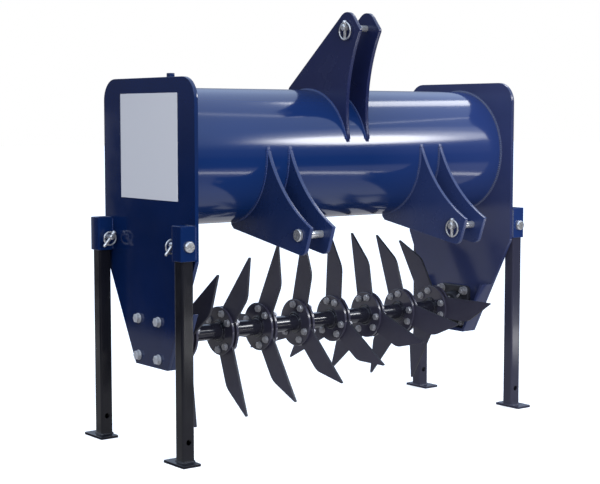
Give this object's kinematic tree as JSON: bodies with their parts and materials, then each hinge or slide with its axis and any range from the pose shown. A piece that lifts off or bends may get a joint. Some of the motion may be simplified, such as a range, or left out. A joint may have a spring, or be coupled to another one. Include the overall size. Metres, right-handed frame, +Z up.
{
  "type": "grassland slitter",
  "caption": "Tractor-carried grassland slitter: a hollow ballast tube between end plates over a free-turning shaft of stepped slitting knives, on pinned parking legs.",
  "frame": {"origin": "floor level, midway between the end plates and at the middle of the overall depth", "axes": "+X along the tube and rotor to the right as seen from the front, -Y towards the tractor, +Z up"},
  "size_m": [1.4, 0.6918, 1.2993],
  "materials": {
    "blue_paint": "glossy navy enamel over welded steel",
    "black_paint": "semi-gloss black enamel",
    "knife_steel": "dark slate satin coating on steel knives",
    "zinc_plate": "bright zinc plating",
    "bearing_casting": "dark grey cast housing"
  },
  "bodies": {
    "frame": {"ballast_tube": "blue_paint", "end_plate_left": "blue_paint", "end_plate_right": "blue_paint", "bearing_block_left": "blue_paint", "bearing_block_right": "blue_paint", "filler_boss": "blue_paint", "filler_plug": "blue_paint", "top_link_plate_left": "blue_paint", "top_link_plate_right": "blue_paint", "lower_link_plate_left_outer": "blue_paint", "lower_link_plate_left_inner": "blue_paint", "lower_link_plate_right_inner": "blue_paint", "lower_link_plate_right_outer": "blue_paint", "leg_socket_front_left": "blue_paint", "leg_socket_rear_left": "blue_paint", "leg_socket_front_right": "blue_paint", "leg_socket_rear_right": "blue_paint", "bearing_left": "bearing_casting", "bearing_right": "bearing_casting", "top_link_pin": "zinc_plate", "lower_link_pin_left": "zinc_plate", "lower_link_pin_right": "zinc_plate", "linch_pins": "zinc_plate", "leg_pin_front_left": "zinc_plate", "leg_pin_rear_left": "zinc_plate", "leg_pin_front_right": "zinc_plate", "leg_pin_rear_right": "zinc_plate"},
    "rotor": {"rotor_shaft": "black_paint", "blade_set_1": "knife_steel", "blade_set_2": "knife_steel", "blade_set_3": "knife_steel", "blade_set_4": "knife_steel", "blade_set_5": "knife_steel", "blade_set_6": "knife_steel", "blade_set_7": "knife_steel", "blade_set_8": "knife_steel"},
    "leg_front_left": {"leg_tube_front_left": "black_paint", "leg_foot_front_left": "black_paint"},
    "leg_rear_left": {"leg_tube_rear_left": "black_paint", "leg_foot_rear_left": "black_paint"},
    "leg_front_right": {"leg_tube_front_right": "black_paint", "leg_foot_front_right": "black_paint"},
    "leg_rear_right": {"leg_tube_rear_right": "black_paint", "leg_foot_rear_right": "black_paint"}
  },
  "joints": [
    {"name": "rotor_spin", "type": "hinge", "parent": "frame", "child": "rotor", "pos_m": [0, 0.0675, 0.328], "axis": [1, 0, 0], "continuous": true},
    {"name": "leg_front_left_slide", "type": "slide", "parent": "frame", "child": "leg_front_left", "axis": [0, 0, 1], "range_m": [0, 0.555]},
    {"name": "leg_rear_left_slide", "type": "slide", "parent": "frame", "child": "leg_rear_left", "axis": [0, 0, 1], "range_m": [0, 0.555]},
    {"name": "leg_front_right_slide", "type": "slide", "parent": "frame", "child": "leg_front_right", "axis": [0, 0, 1], "range_m": [0, 0.555]},
    {"name": "leg_rear_right_slide", "type": "slide", "parent": "frame", "child": "leg_rear_right", "axis": [0, 0, 1], "range_m": [0, 0.555]}
  ]
}
